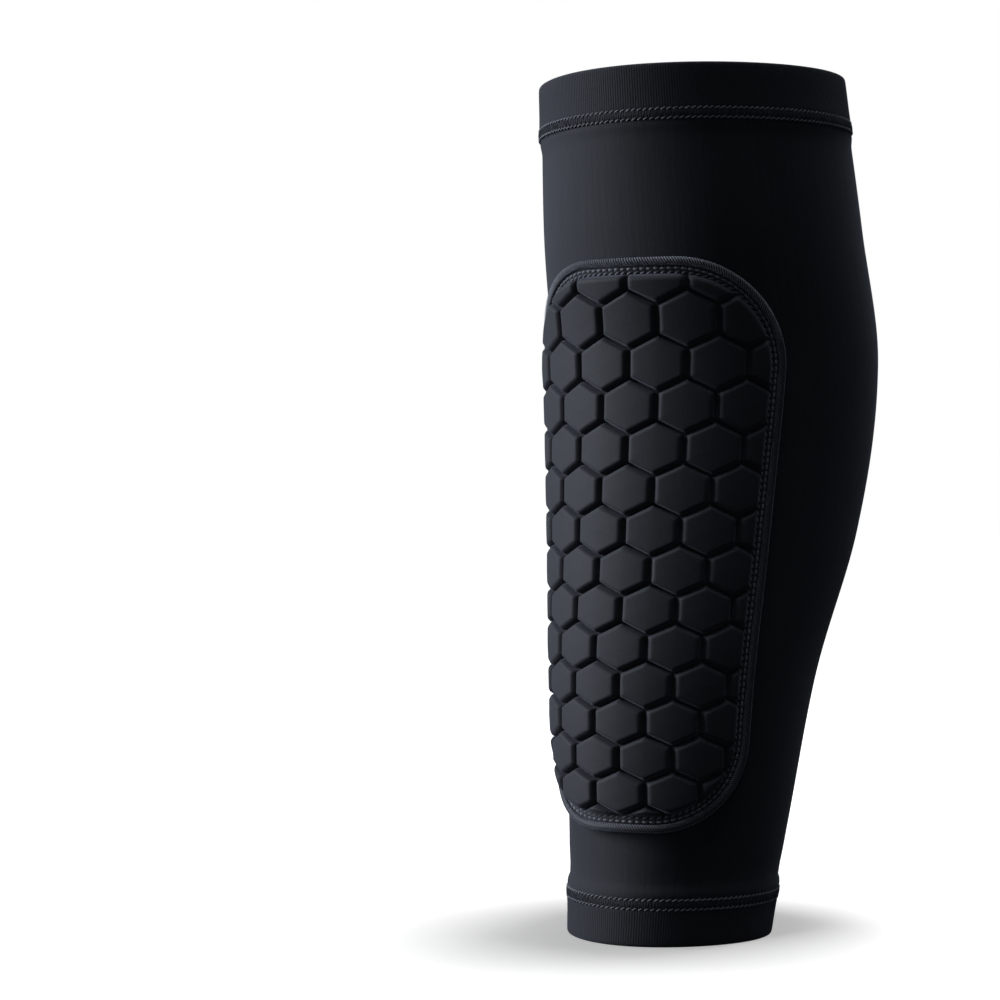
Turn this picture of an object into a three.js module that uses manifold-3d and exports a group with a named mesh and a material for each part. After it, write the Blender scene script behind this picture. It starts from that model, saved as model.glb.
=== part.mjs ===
// Padded calf sleeve with a honeycomb shin pad, a soft shin guard for ball sports.
// Millimetres. +Z runs up the leg, -Y is the shin, +Y is the calf, +X is to the right seen from the shin.
import * as THREE from "three";
import { ParametricGeometry } from "three/addons/geometries/ParametricGeometry.js";
import { mergeVertices } from "three/addons/utils/BufferGeometryUtils.js";
import Module from "manifold-3d";

const wasm = await Module();
wasm.setup();

// The leg form: [height, face in front of the ankle's line, face behind it].
const LEG_FORM = [
  [0, 49, 27],
  [40, 45.9, 38.2],
  [95, 43.2, 54.4],
  [150, 38, 78.6],
  [215, 37.2, 91.1],
  [265, 46.8, 77.8],
  [320, 52, 64.7],
];
const HEIGHT = 320;
const WIDTH_TO_DEPTH = 0.97; // of a level section through the sleeve
const EGG = 0.08; // how much the section is narrower at the shin than at the calf

// Layers of the sleeve, as distances out from the knit's face.
const KNIT_THICKNESS = 1;
const BAND_CLOTH = 0.8;
const GAP = 0.3; // between pieces that touch
const THREAD_HIGH = 0.4;
const THREAD_HALF_WIDE = 0.3;

// The hem bands.
const TOP_BAND_LOW = 299.2;
const BOTTOM_BAND_HIGH = 17.9;
const HEM_OVERLAP = 5.4; // how far the knit runs up inside the fold
const NEEDLE_GAP = 3.4; // between the two needle rows of a coverstitch
const NEEDLE_FROM_EDGE = 0.9; // from the band's cut edge to the first needle row
const ELASTIC_THICKNESS = 0.8;

// The pad, laid flat: half widths across the shin and heights up the sleeve.
const PAD_LOW = 41.2;
const PAD_HIGH = 250.2;
const PAD_HALF_LOW = 45.6;
const PAD_HALF_HIGH = 55.4;
const PAD_RADIUS_LOW = 36;
const PAD_RADIUS_HIGH = 39;
const PAD_BOW = { middle: 150, reach: 80, shift: -0.3, lean: 0.53, bow: 1.41 }; // as it was sewn on

// Layers of the pad, as distances out from the knit's face.
const BACKING = [0.9, 1.4];
const FOAM_WEB = [1.7, 2.6];
const FOAM_CELL_TOP = 6.2;
const COVER_WEB = [3, 3.6];
const COVER_CELL = [6.6, 7.2];
const GROOVE_LIFT = 0.4; // a groove's bottom stands this far above the flat web round the field
const FIELD_LIFT = 0.3; // from the underside of the web to the underside of the cells joined to it
const BINDING_HIGH = 4.7;
const BINDING_WIDE = 3.4;
const BINDING_TAPE = 0.7;
const BINDING_WALL = 1.4; // of the binding outside the laminate's cut edge
const LAMINATE_INSET = 2; // from the pad's outer edge to the laminate's cut edge
const FIELD_INSET = 7; // from the pad's outer edge to the cells
const THREAD_INSETS = { overlock_thread: 4.05, stitch_outer: 4.95, stitch_inner: 6.1 };

// The honeycomb: cell width and row height both shrink a little towards the ankle.
const CELL_ROWS = 15;
const FIRST_ROW_HIGH = 227.6;
const ROW_STEP = 16.1;
const ROW_STEP_LOSS = 0.148;
const CELL_WIDE_AT_ANKLE = 16.27;
const CELL_WIDE_PER_MM = 0.0178;
const CELL_TOP_SHARE = 0.78; // width of a cell's flat top against the whole cell

const FACETS = 36; // round the leg
const PAD_COLUMNS = 14;
const PAD_ROWS = 10;
const SHEET_SPARE = 10; // cut off a sheet before it has the pad's outline
const CUTTER = [-2, 12]; // distances out between which the cutter reaches
const ARC_STEPS = 6;
const SIDE_STEPS = 6;
const LEVEL_STEPS = 6; // across the pad's top and bottom edges
const KNIT_ROWS = [40, 70, 100, 130, 160, 190, 205, 220, 235, 250, 285];

const lerp = THREE.MathUtils.lerp;

// A value of the leg form at a height: a smooth curve through the listed heights.
function legFormAt(z, column) {
  const last = LEG_FORM.length - 1;
  let i = 0;
  while (i < last - 1 && z > LEG_FORM[i + 1][0]) i += 1;
  const slope = (k) => {
    const a = LEG_FORM[Math.max(k - 1, 0)];
    const b = LEG_FORM[Math.min(k + 1, last)];
    return (b[column] - a[column]) / (b[0] - a[0]);
  };
  const [low, high] = [LEG_FORM[i], LEG_FORM[i + 1]];
  const span = high[0] - low[0];
  const t = (z - low[0]) / span;
  const [t2, t3] = [t * t, t * t * t];
  const from = low[column] * (2 * t3 - 3 * t2 + 1) + slope(i) * span * (t3 - 2 * t2 + t);
  const to = high[column] * (3 * t2 - 2 * t3) + slope(i + 1) * span * (t3 - t2);
  return from + to;
}

// A point at angle t round the leg (0 at the shin, towards +X), at height z, out from the knit's face.
function onLeg(t, z, out) {
  const front = legFormAt(z, 1);
  const back = legFormAt(z, 2);
  const deep = (front + back) / 2;
  const wide = deep * WIDTH_TO_DEPTH;
  const x = wide * Math.sin(t) * (1 - EGG * Math.cos(t));
  const y = (back - front) / 2 - deep * Math.cos(t);
  const along = new THREE.Vector2(
    wide * (Math.cos(t) * (1 - EGG * Math.cos(t)) + EGG * Math.sin(t) ** 2),
    deep * Math.sin(t),
  ).normalize();
  return new THREE.Vector3(x + along.y * out, y - along.x * out, z);
}

// The angle at which the knit's face is a given distance round from the shin line, at height z.
function angleAt(distance, z) {
  const steps = 40;
  let t = 0;
  for (let round = 0; round < 4; round += 1) {
    let length = 0;
    let last = onLeg(0, z, 0);
    for (let i = 1; i <= steps; i += 1) {
      const next = onLeg((t * i) / steps, z, 0);
      length += next.distanceTo(last);
      last = next;
    }
    const speed = t === 0 ? onLeg(0, z, 0).distanceTo(onLeg(0.02, z, 0)) / 0.02 : length / t;
    t = t === 0 ? Math.abs(distance) / speed : t + (Math.abs(distance) - length) / speed;
  }
  return Math.sign(distance) * t;
}

// A point on the pad: across the shin, up the sleeve, and out from the knit's face. The pad leans and bows a
// little: share counts the height in reaches above the middle.
function onPad(across, z, out) {
  const share = (z - PAD_BOW.middle) / PAD_BOW.reach;
  const sideways = PAD_BOW.shift + PAD_BOW.lean * share + PAD_BOW.bow * share ** 2;
  return onLeg(angleAt(across + sideways, z), z, out);
}

function merged(geometry) {
  geometry.deleteAttribute("normal");
  geometry.deleteAttribute("uv");
  const joined = mergeVertices(geometry, 1e-4);
  joined.computeVertexNormals();
  return joined;
}

// A closed ring: a section of [..., out, height] corners for each of several stations along a closed route.
function closedRing(stations, corners, place) {
  const at = (u, v, target) => {
    const station = Math.round(u * stations) % stations;
    const corner = Math.round(v * corners) % corners;
    target.copy(place(station, corner));
  };
  return merged(new ParametricGeometry(at, stations, corners));
}

// A ring round the leg with a section of [out, height] corners, going up on its outer side.
// With wave, the stations go up and down by that much in turn.
function legRing(section, wave = 0) {
  return closedRing(FACETS, section.length, (station, corner) => {
    const [out, z] = section[corner];
    const lift = station % 2 === 0 ? wave : -wave;
    return onLeg((2 * Math.PI * station) / FACETS, z + lift, out);
  });
}

// A flat blank bent into place: place takes its three coordinates and gives the point.
function bent(blank, place) {
  const position = blank.getAttribute("position");
  for (let i = 0; i < position.count; i += 1) {
    const point = place(position.getX(i), position.getY(i), position.getZ(i));
    position.setXYZ(i, point.x, point.y, point.z);
  }
  return merged(blank);
}

function solidFrom(geometry) {
  const vertProperties = geometry.getAttribute("position").array;
  const triVerts = new Uint32Array(geometry.index.array);
  return new wasm.Manifold(new wasm.Mesh({ numProp: 3, vertProperties, triVerts }));
}

function geometryFrom(solid) {
  const mesh = solid.getMesh();
  const geometry = new THREE.BufferGeometry();
  geometry.setAttribute("position", new THREE.BufferAttribute(mesh.vertProperties, 3));
  geometry.setIndex(new THREE.BufferAttribute(mesh.triVerts, 1));
  geometry.computeVertexNormals();
  return geometry;
}

function knitTube() {
  const heights = [BOTTOM_BAND_HIGH - HEM_OVERLAP, ...KNIT_ROWS, TOP_BAND_LOW + HEM_OVERLAP];
  const outside = heights.map((z) => [0, z]);
  const inside = heights.map((z) => [-KNIT_THICKNESS, z]).reverse();
  return legRing([...outside, ...inside]);
}

// A strip of flatlock thread down the calf, on the face at the given distance out.
function backSeam(out) {
  const wide = 5;
  const heights = [BOTTOM_BAND_HIGH + 1.6, ...KNIT_ROWS, TOP_BAND_LOW - 2];
  const rows = heights.length - 1;
  const blank = new THREE.BoxGeometry(wide, 1, THREAD_HIGH, 2, rows, 1);
  return bent(blank, (across, up, thick) => {
    const z = heights[Math.round((up + 0.5) * rows)];
    const radius = (legFormAt(z, 1) + legFormAt(z, 2)) / 2;
    return onLeg(Math.PI + across / radius, z, out + thick + THREAD_HIGH / 2);
  });
}

// A band folded double over its rim, open at its cut edges; rim and cut are heights.
function foldedBand(rim, cut) {
  const outer = GAP + BAND_CLOTH;
  const inner = -KNIT_THICKNESS - GAP - BAND_CLOTH;
  const fold = rim + Math.sign(cut - rim) * BAND_CLOTH * 1.3;
  const section = [
    [outer, cut],
    [outer, rim],
    [inner, rim],
    [inner, cut],
    [inner + BAND_CLOTH, cut],
    [inner + BAND_CLOTH, fold],
    [GAP, fold],
    [GAP, cut],
  ];
  return legRing(rim > cut ? section : section.reverse());
}

function elasticTape(low, high) {
  const out = -(KNIT_THICKNESS - ELASTIC_THICKNESS) / 2;
  return legRing([
    [out, low],
    [out, high],
    [out - ELASTIC_THICKNESS, high],
    [out - ELASTIC_THICKNESS, low],
  ]);
}

// A thread laid round the leg on the band's outer face, with side 1, or on its inner face, with side -1.
function threadRing(z, side, wave = 0) {
  const face = side > 0 ? 2 * GAP + BAND_CLOTH : -KNIT_THICKNESS - 2 * GAP - BAND_CLOTH;
  const section = [
    [face, z - side * THREAD_HALF_WIDE],
    [face + side * THREAD_HIGH, z],
    [face, z + side * THREAD_HALF_WIDE],
  ];
  return legRing(section, wave);
}

// A wavy silicone bead on the band's inner face.
function gripBead(z) {
  const face = -KNIT_THICKNESS - 2 * GAP - BAND_CLOTH;
  const [high, halfWide, wave] = [0.8, 0.9, 0.8];
  return legRing(
    [
      [face, z - halfWide],
      [face, z + halfWide],
      [face - high, z],
    ],
    wave,
  );
}

// The right-hand edge of the pad as [half width, height] from the bottom up, brought in by inset.
function padSide(inset) {
  const low = [PAD_HALF_LOW - PAD_RADIUS_LOW, PAD_LOW + PAD_RADIUS_LOW, PAD_RADIUS_LOW - inset];
  const high = [PAD_HALF_HIGH - PAD_RADIUS_HIGH, PAD_HIGH - PAD_RADIUS_HIGH, PAD_RADIUS_HIGH - inset];
  const side = [];
  for (let i = 0; i <= ARC_STEPS; i += 1) {
    const turn = (Math.PI / 2) * (i / ARC_STEPS - 1);
    side.push([low[0] + low[2] * Math.cos(turn), low[1] + low[2] * Math.sin(turn)]);
  }
  for (let i = 1; i < SIDE_STEPS; i += 1) {
    const share = i / SIDE_STEPS;
    side.push([lerp(low[0] + low[2], high[0] + high[2], share), lerp(low[1], high[1], share)]);
  }
  for (let i = 0; i <= ARC_STEPS; i += 1) {
    const turn = (Math.PI / 2) * (i / ARC_STEPS);
    side.push([high[0] + high[2] * Math.cos(turn), high[1] + high[2] * Math.sin(turn)]);
  }
  return side;
}

// The whole edge of the pad as [across, height], counter-clockwise seen from in front of the shin.
function padLoop(inset) {
  const right = padSide(inset);
  const left = right.map(([half, z]) => [-half, z]).reverse();
  const level = (half, z, steps) => {
    const points = [];
    for (let i = 1; i < steps; i += 1) points.push([lerp(half, -half, i / steps), z]);
    return points;
  };
  const [lowHalf, lowZ] = right[0];
  const [highHalf, highZ] = right[right.length - 1];
  const top = level(highHalf, highZ, LEVEL_STEPS);
  const bottom = level(-lowHalf, lowZ, LEVEL_STEPS);
  return [...right, ...top, ...left, ...bottom];
}

// A ring along the pad's edge with a section of [inset, out] corners, rising on its outer side.
function padRing(section) {
  const loops = section.map(([inset]) => padLoop(inset));
  return closedRing(loops[0].length, section.length, (station, corner) => {
    const [across, z] = loops[corner][station];
    return onPad(across, z, section[corner][1]);
  });
}

// A deep block with the pad's outline, brought in by inset, to cut the pad's layers with.
function padCutter(inset) {
  const side = padSide(inset);
  const rows = side.length - 1;
  const blank = new THREE.BoxGeometry(2, 1, 1, PAD_COLUMNS, rows, 1);
  return solidFrom(
    bent(blank, (across, up, thick) => {
      const [half, z] = side[Math.round((up + 0.5) * rows)];
      return onPad(across * half, z, thick > 0 ? CUTTER[1] : CUTTER[0]);
    }),
  );
}

// A sheet with the pad's outline, brought in by inset, between two distances out.
function padSheet(inset, [low, high]) {
  const wide = 2 * PAD_HALF_HIGH + SHEET_SPARE;
  const tall = PAD_HIGH - PAD_LOW + SHEET_SPARE;
  const blank = new THREE.BoxGeometry(wide, tall, high - low, PAD_COLUMNS, PAD_ROWS, 1);
  const sheet = bent(blank, (across, up, thick) => {
    return onPad(across, (PAD_LOW + PAD_HIGH) / 2 + up, (low + high) / 2 + thick);
  });
  return solidFrom(sheet).intersect(padCutter(inset));
}

function rowHeight(row) {
  return FIRST_ROW_HIGH - ROW_STEP * (row - 1) + ROW_STEP_LOSS * (row - 1) ** 2;
}

// A corner of the honeycomb: column counts half cells across from the shin line, row counts down.
function honeycombPoint(column, row, out) {
  const z = rowHeight(row);
  const cellWide = CELL_WIDE_AT_ANKLE + CELL_WIDE_PER_MM * z;
  return onPad((column * cellWide) / 2, z, out);
}

// The field of cells as one solid, wider than the pad: raised tops, V grooves between, a plain underside.
function honeycomb(cellTop, groove, under) {
  const points = [];
  const edgeUses = new Map();
  const triangle = (a, b, c) => points.push(...a, ...b, ...c);
  for (let row = 0; row < CELL_ROWS; row += 1) {
    const reach = row % 2 === 1 ? 4 : 5;
    for (let column = -reach; column <= reach; column += 2) {
      const corners = [
        [column, row + 2 / 3],
        [column + 1, row + 1 / 3],
        [column + 1, row - 1 / 3],
        [column, row - 2 / 3],
        [column - 1, row - 1 / 3],
        [column - 1, row + 1 / 3],
      ];
      const centre = honeycombPoint(column, row, cellTop);
      const centreUnder = honeycombPoint(column, row, under);
      const topPoint = ([c, r]) => {
        return honeycombPoint(lerp(column, c, CELL_TOP_SHARE), lerp(row, r, CELL_TOP_SHARE), cellTop);
      };
      corners.forEach((corner, i) => {
        const next = corners[(i + 1) % corners.length];
        const [topA, topB] = [topPoint(corner), topPoint(next)];
        const [lowA, lowB] = [honeycombPoint(...corner, groove), honeycombPoint(...next, groove)];
        const [underA, underB] = [honeycombPoint(...corner, under), honeycombPoint(...next, under)];
        triangle(centre, topA, topB);
        triangle(topA, lowA, lowB);
        triangle(topA, lowB, topB);
        triangle(centreUnder, underB, underA);
        const key = [corner, next].map(([c, r]) => `${c}/${Math.round(3 * r)}`).sort();
        const wall = edgeUses.has(key.join()) ? null : [lowA, lowB, underA, underB];
        edgeUses.set(key.join(), wall);
      });
    }
  }
  for (const wall of edgeUses.values()) {
    if (wall === null) continue;
    const [lowA, lowB, underA, underB] = wall;
    triangle(lowA, underA, underB);
    triangle(lowA, underB, lowB);
  }
  const geometry = new THREE.BufferGeometry();
  geometry.setAttribute("position", new THREE.Float32BufferAttribute(points, 3));
  return mergeVertices(geometry, 1e-3);
}

// The pad's outer form up to one layer: the flat web out to webInset, and the cells within fieldInset.
function padForm(cellTop, web, webInset, fieldInset) {
  const [webLow, webTop] = web;
  const cells = solidFrom(honeycomb(cellTop, webTop + GROOVE_LIFT, webLow - 1));
  const field = padSheet(fieldInset, [webLow + FIELD_LIFT, COVER_CELL[1] + 3]);
  return padSheet(webInset, [webLow, webTop]).add(cells.intersect(field));
}

function foamCore() {
  return geometryFrom(padForm(FOAM_CELL_TOP, FOAM_WEB, LAMINATE_INSET, FIELD_INSET + 1));
}

function coverCloth() {
  const thick = COVER_WEB[1] - COVER_WEB[0];
  const outside = padForm(COVER_CELL[1], [COVER_WEB[0] - 1, COVER_WEB[1]], LAMINATE_INSET, FIELD_INSET);
  const inside = padForm(COVER_CELL[0], [0, COVER_WEB[0]], LAMINATE_INSET - 3, FIELD_INSET + thick);
  return geometryFrom(outside.subtract(inside));
}

function bindingTape() {
  const low = BACKING[0];
  const shoulder = 0.9; // of the rounded outer edge
  return padRing([
    [0, low],
    [0, BINDING_HIGH - 1.4 * shoulder],
    [shoulder, BINDING_HIGH],
    [BINDING_WIDE, BINDING_HIGH],
    [BINDING_WIDE, BINDING_HIGH - BINDING_TAPE],
    [BINDING_WALL, BINDING_HIGH - BINDING_TAPE],
    [BINDING_WALL, low],
  ]);
}

// A thread along the pad's edge, lying on the cover's flat web.
function padThread(inset) {
  const clear = 0.4; // over the web, which bends in longer steps than the thread
  const face = COVER_WEB[1] + clear;
  return padRing([
    [inset - THREAD_HALF_WIDE, face],
    [inset, face + THREAD_HIGH],
    [inset + THREAD_HALF_WIDE, face],
  ]);
}

const finishes = {
  knit: { color: 0x141519, roughness: 0.92 },
  rib: { color: 0x17181c, roughness: 0.94 },
  cover: { color: 0x1b1c21, roughness: 0.78 },
  lining: { color: 0x1d1e22, roughness: 0.95 },
  foam: { color: 0x2a2b2e, roughness: 0.85 },
  tape: { color: 0x1e1f25, roughness: 0.7 },
  thread: { color: 0x2b2c33, roughness: 0.6 },
  elastic: { color: 0x202124, roughness: 0.9 },
  silicone: { color: 0x303136, roughness: 0.45 },
};

const shinGuard = new THREE.Group();

function add(name, finish, geometry) {
  const material = new THREE.MeshStandardMaterial({ ...finishes[finish], metalness: 0 });
  const mesh = new THREE.Mesh(geometry, material);
  mesh.name = name;
  shinGuard.add(mesh);
}

add("sleeve_knit_tube", "knit", knitTube());
add("back_seam_cover_thread", "thread", backSeam(GAP));
add("back_seam_looper_thread", "thread", backSeam(-KNIT_THICKNESS - GAP - THREAD_HIGH));

const hems = [
  { name: "top", rim: HEIGHT, cut: TOP_BAND_LOW },
  { name: "bottom", rim: 0, cut: BOTTOM_BAND_HIGH },
];
for (const { name, rim, cut } of hems) {
  const inward = Math.sign(rim - cut);
  const firstRow = cut + inward * NEEDLE_FROM_EDGE;
  const secondRow = firstRow + inward * NEEDLE_GAP;
  const middle = (firstRow + secondRow) / 2;
  const tapeEnds = [cut + inward * (HEM_OVERLAP + 1), rim - inward * 2];
  add(`${name}_cuff_band`, "rib", foldedBand(rim, cut));
  add(`${name}_cuff_elastic`, "elastic", elasticTape(Math.min(...tapeEnds), Math.max(...tapeEnds)));
  add(`${name}_needle_thread_edge`, "thread", threadRing(firstRow, 1));
  add(`${name}_needle_thread_inner`, "thread", threadRing(secondRow, 1));
  add(`${name}_cover_thread`, "thread", threadRing(middle, 1, NEEDLE_GAP / 2 - 3 * THREAD_HALF_WIDE));
  add(`${name}_looper_thread`, "thread", threadRing(middle, -1, NEEDLE_GAP / 2 - 3 * THREAD_HALF_WIDE));
}

const GRIP_HEIGHTS = { lower: HEIGHT - 12, upper: HEIGHT - 6.5 };
for (const [name, z] of Object.entries(GRIP_HEIGHTS)) {
  add(`silicone_grip_${name}`, "silicone", gripBead(z));
}

add("pad_backing_cloth", "lining", geometryFrom(padSheet(LAMINATE_INSET, BACKING)));
add("pad_foam_core", "foam", foamCore());
add("pad_cover_cloth", "cover", coverCloth());
add("pad_edge_binding", "tape", bindingTape());
for (const [name, inset] of Object.entries(THREAD_INSETS)) {
  add(`pad_${name}`, "thread", padThread(inset));
}

// The part's origin is at the bottom, in the middle of its box.
const box = new THREE.Box3().setFromObject(shinGuard);
const middle = box.getCenter(new THREE.Vector3());
for (const mesh of shinGuard.children) mesh.position.set(-middle.x, -middle.y, 0);

export default shinGuard;
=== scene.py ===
import math

import bpy
import numpy as np
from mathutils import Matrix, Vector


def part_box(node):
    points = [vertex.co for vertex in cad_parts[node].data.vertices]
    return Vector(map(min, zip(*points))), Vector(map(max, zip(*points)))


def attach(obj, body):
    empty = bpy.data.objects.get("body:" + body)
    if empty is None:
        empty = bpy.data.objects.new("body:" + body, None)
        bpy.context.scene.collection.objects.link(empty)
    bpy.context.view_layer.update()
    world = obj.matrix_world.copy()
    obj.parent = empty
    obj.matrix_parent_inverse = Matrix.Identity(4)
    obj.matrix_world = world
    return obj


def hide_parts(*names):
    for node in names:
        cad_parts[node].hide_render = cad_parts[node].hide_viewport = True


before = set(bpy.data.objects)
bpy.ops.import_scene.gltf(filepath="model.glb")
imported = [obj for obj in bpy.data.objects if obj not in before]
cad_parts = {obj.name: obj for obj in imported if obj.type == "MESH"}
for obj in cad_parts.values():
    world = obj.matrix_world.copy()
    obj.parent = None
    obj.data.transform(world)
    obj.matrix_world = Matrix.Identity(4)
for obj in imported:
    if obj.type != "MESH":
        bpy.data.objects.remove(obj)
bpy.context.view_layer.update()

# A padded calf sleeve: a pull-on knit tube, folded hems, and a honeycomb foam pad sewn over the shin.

MM = 0.001
scene = bpy.context.scene


# ---- Camera ----
# A level camera at half the sleeve's height, turned towards the sleeve's left side, with the sleeve
# standing in the right-hand part of its view.

TURN = math.radians(30.6)
AWAY = 1.0509
TO_THE_LEFT = 0.068
EYE_HIGH = 0.162
LENS, SENSOR_WIDE = 99.9, 36

RIM_FRONT_TO_LINE = 0.0501  # from the lower rim's front to the line that the leg form is built on
LEG_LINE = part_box("bottom_cuff_band")[0].y + RIM_FRONT_TO_LINE

to_right = np.array([math.cos(TURN), math.sin(TURN), 0])
into_view = np.array([-math.sin(TURN), math.cos(TURN), 0])
eye = np.array([0, LEG_LINE, EYE_HIGH]) - AWAY * into_view - TO_THE_LEFT * to_right

camera = bpy.data.objects.new("camera", bpy.data.cameras.new("camera"))
camera.data.lens = LENS
camera.data.sensor_width = SENSOR_WIDE
camera.location = eye
camera.rotation_euler = (math.pi / 2, 0, TURN)
scene.collection.objects.link(camera)
scene.camera = camera


# ---- Knit tube ----
# One panel of black stretch knit, sewn into a tube down the calf. It keeps the shape of a leg: nearly
# straight down the shin and full over the calf. Its fine wales run down the leg.

LEG_HEIGHTS = np.array([0, 40, 95, 150, 215, 265, 320]) * MM
LEG_FRONT = np.array([49, 45.9, 43.2, 38, 37.2, 46.8, 52]) * MM
LEG_BACK = np.array([27, 38.2, 54.4, 78.6, 91.1, 77.8, 64.7]) * MM
WIDTH_TO_DEPTH = 0.97
EGG = 0.08

LEAN_FROM = 240 * MM
RIM_LEAN = 0.024

KNIT_THICK = 1.0 * MM
KNIT_LOW = 12.5 * MM
KNIT_HIGH = 304.6 * MM
KNIT_EDGE_ROUND = 0.4 * MM
KNIT_STATIONS, KNIT_ROWS_OUT, KNIT_ROWS_IN = 264, 190, 50
KNIT_SPACED_AT = 200 * MM  # the height at which its stations are evenly spaced
TOP_SEAM = 299.2 * MM
BOTTOM_SEAM = 17.9 * MM
BACK_RADIUS = 70 * MM  # how tightly the tube bends at the back seam

# Where the tube leaves its plain shape: how far it stands out, how far above the seam, and over what width.
ROLL_OVER_BOTTOM_SEAM = (0.95 * MM, 0.6 * MM, 2.2 * MM)
DRAWN_IN_ABOVE_IT = (-0.2 * MM, 7.5 * MM, 3 * MM)
FULL_UNDER_TOP_HEM = (0.7 * MM, -0.8 * MM, 1.5 * MM)
SEAM_RIDGE, SEAM_RIDGE_WIDE = 0.2 * MM, 2.2 * MM
UNEVEN = 0.16 * MM


def through_heights(z, values):
    """A smooth curve through the listed heights: on each span a cubic that meets its neighbours with the
    slope of the line from the height before to the height after."""
    slopes = np.empty(len(values))
    slopes[1:-1] = (values[2:] - values[:-2]) / (LEG_HEIGHTS[2:] - LEG_HEIGHTS[:-2])
    slopes[0] = (values[1] - values[0]) / (LEG_HEIGHTS[1] - LEG_HEIGHTS[0])
    slopes[-1] = (values[-1] - values[-2]) / (LEG_HEIGHTS[-1] - LEG_HEIGHTS[-2])
    k = np.clip(np.searchsorted(LEG_HEIGHTS, z, side="right") - 1, 0, len(values) - 2)
    span = LEG_HEIGHTS[k + 1] - LEG_HEIGHTS[k]
    t = (z - LEG_HEIGHTS[k]) / span
    low = values[k] * (2 * t**3 - 3 * t**2 + 1) + slopes[k] * span * (t**3 - 2 * t**2 + t)
    high = values[k + 1] * (3 * t**2 - 2 * t**3) + slopes[k + 1] * span * (t**3 - t**2)
    return low + high


def section_at(z):
    """Half the depth of the leg's section at height z, and how far its middle lies behind the leg line."""
    front, back = through_heights(z, LEG_FRONT), through_heights(z, LEG_BACK)
    return (front + back) / 2, (back - front) / 2


def section_tangent(t, deep):
    """How fast a point moves across and back along the egg-shaped section as its angle t grows."""
    wide = deep * WIDTH_TO_DEPTH
    return wide * (np.cos(t) * (1 - EGG * np.cos(t)) + EGG * np.sin(t) ** 2), deep * np.sin(t)


def on_leg(t, z, out):
    """A point at angle t round the leg from the shin, at height z, and out from the knit's face along the
    level normal. The section is x = w sin t (1 - e cos t), y = c - d cos t. Towards the top the empty
    sleeve stands a little higher on its right, by a smooth step of the height times the way across."""
    t, z, out = np.broadcast_arrays(t, z, out)
    deep, middle = section_at(z)
    across, back = section_tangent(t, deep)
    speed = np.hypot(across, back)
    x = deep * WIDTH_TO_DEPTH * np.sin(t) * (1 - EGG * np.cos(t)) + out * back / speed
    y = LEG_LINE + middle - deep * np.cos(t) - out * across / speed
    share = np.clip((z - LEAN_FROM) / (LEG_HEIGHTS[-1] - LEAN_FROM), 0, 1)
    lean = RIM_LEAN * share**2 * (3 - 2 * share) * (x * to_right[0] + (y - LEG_LINE) * to_right[1])
    return np.stack([x, y, z + lean], -1)


def even_angles(count, z):
    """Angles that cut the section at height z into equal arcs, starting at the calf, and its girth."""
    fine = np.linspace(-math.pi, math.pi, 4001)
    arc = np.concatenate([[0], np.cumsum(np.linalg.norm(np.diff(on_leg(fine, z, 0), axis=0), axis=1))])
    return np.interp(np.arange(count) / count * arc[-1], arc, fine), arc[-1]


def grid_faces(rows, columns, round_rows, round_columns):
    """Quads between neighbours of a grid of points, going round where it closes on itself, with the
    unwrapped row and column of each corner."""
    i, j = np.meshgrid(
        np.arange(rows if round_rows else rows - 1),
        np.arange(columns if round_columns else columns - 1),
        indexing="ij",
    )
    corner_row = np.stack([i, i, i + 1, i + 1], -1).reshape(-1, 4)
    corner_column = np.stack([j, j + 1, j + 1, j], -1).reshape(-1, 4)
    return corner_row % rows * columns + corner_column % columns, corner_row, corner_column


def make_piece(name, points, faces, finish, nodes, slot, uv=None):
    """A closed mesh at the origin from points and arrays of faces, turned outwards by the sign of the
    volume it encloses. It rides on the sleeve, stands for its CAD nodes and takes its finish."""
    points = np.asarray(points, float).reshape(-1, 3)
    volume = 0.0
    for block in faces:
        a = points[block[:, 0]]
        for k in range(1, block.shape[1] - 1):
            volume += np.einsum("ij,ij->", a, np.cross(points[block[:, k]], points[block[:, k + 1]]))
    if volume < 0:
        faces = [block[:, ::-1] for block in faces]
        uv = None if uv is None else [block[:, ::-1] for block in uv]
    sizes = np.concatenate([np.full(len(block), block.shape[1]) for block in faces])
    corners = np.concatenate([block.ravel() for block in faces])
    mesh = bpy.data.meshes.new(name)
    mesh.vertices.add(len(points))
    mesh.vertices.foreach_set("co", points.ravel())
    mesh.loops.add(len(corners))
    mesh.loops.foreach_set("vertex_index", corners)
    mesh.polygons.add(len(sizes))
    mesh.polygons.foreach_set("loop_start", np.concatenate([[0], np.cumsum(sizes)[:-1]]))
    mesh.polygons.foreach_set("use_smooth", np.ones(len(sizes), bool))
    if uv is not None:
        layer = mesh.uv_layers.new(name="cloth")
        layer.data.foreach_set("uv", np.concatenate([block.reshape(-1, 2) for block in uv]).ravel())
    mesh.update(calc_edges=True)
    mesh.validate()
    mesh.materials.append(finish)
    piece = bpy.data.objects.new(name, mesh)
    scene.collection.objects.link(piece)
    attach(piece, "root")
    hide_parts(*nodes)
    return piece


def leg_tube(name, out, z, angles, girth, finish, nodes, slot):
    """A profile of distances out and heights, carried round the leg. Each is [profile, 1] or
    [profile, station]. Its cloth map runs round the leg and along the profile, in metres."""
    points = on_leg(angles[None, :], z, out)
    rows, columns = points.shape[:2]
    faces, corner_row, corner_column = grid_faces(rows, columns, True, True)
    first = points[:, 0]
    step = np.linalg.norm(np.roll(first, -1, 0) - first, axis=1)
    along = np.concatenate([[0], np.cumsum(step)])
    uv = np.stack([corner_column / columns * girth, along[corner_row]], -1)
    return make_piece(name, points, [faces], finish, nodes, slot, [uv])


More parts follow.
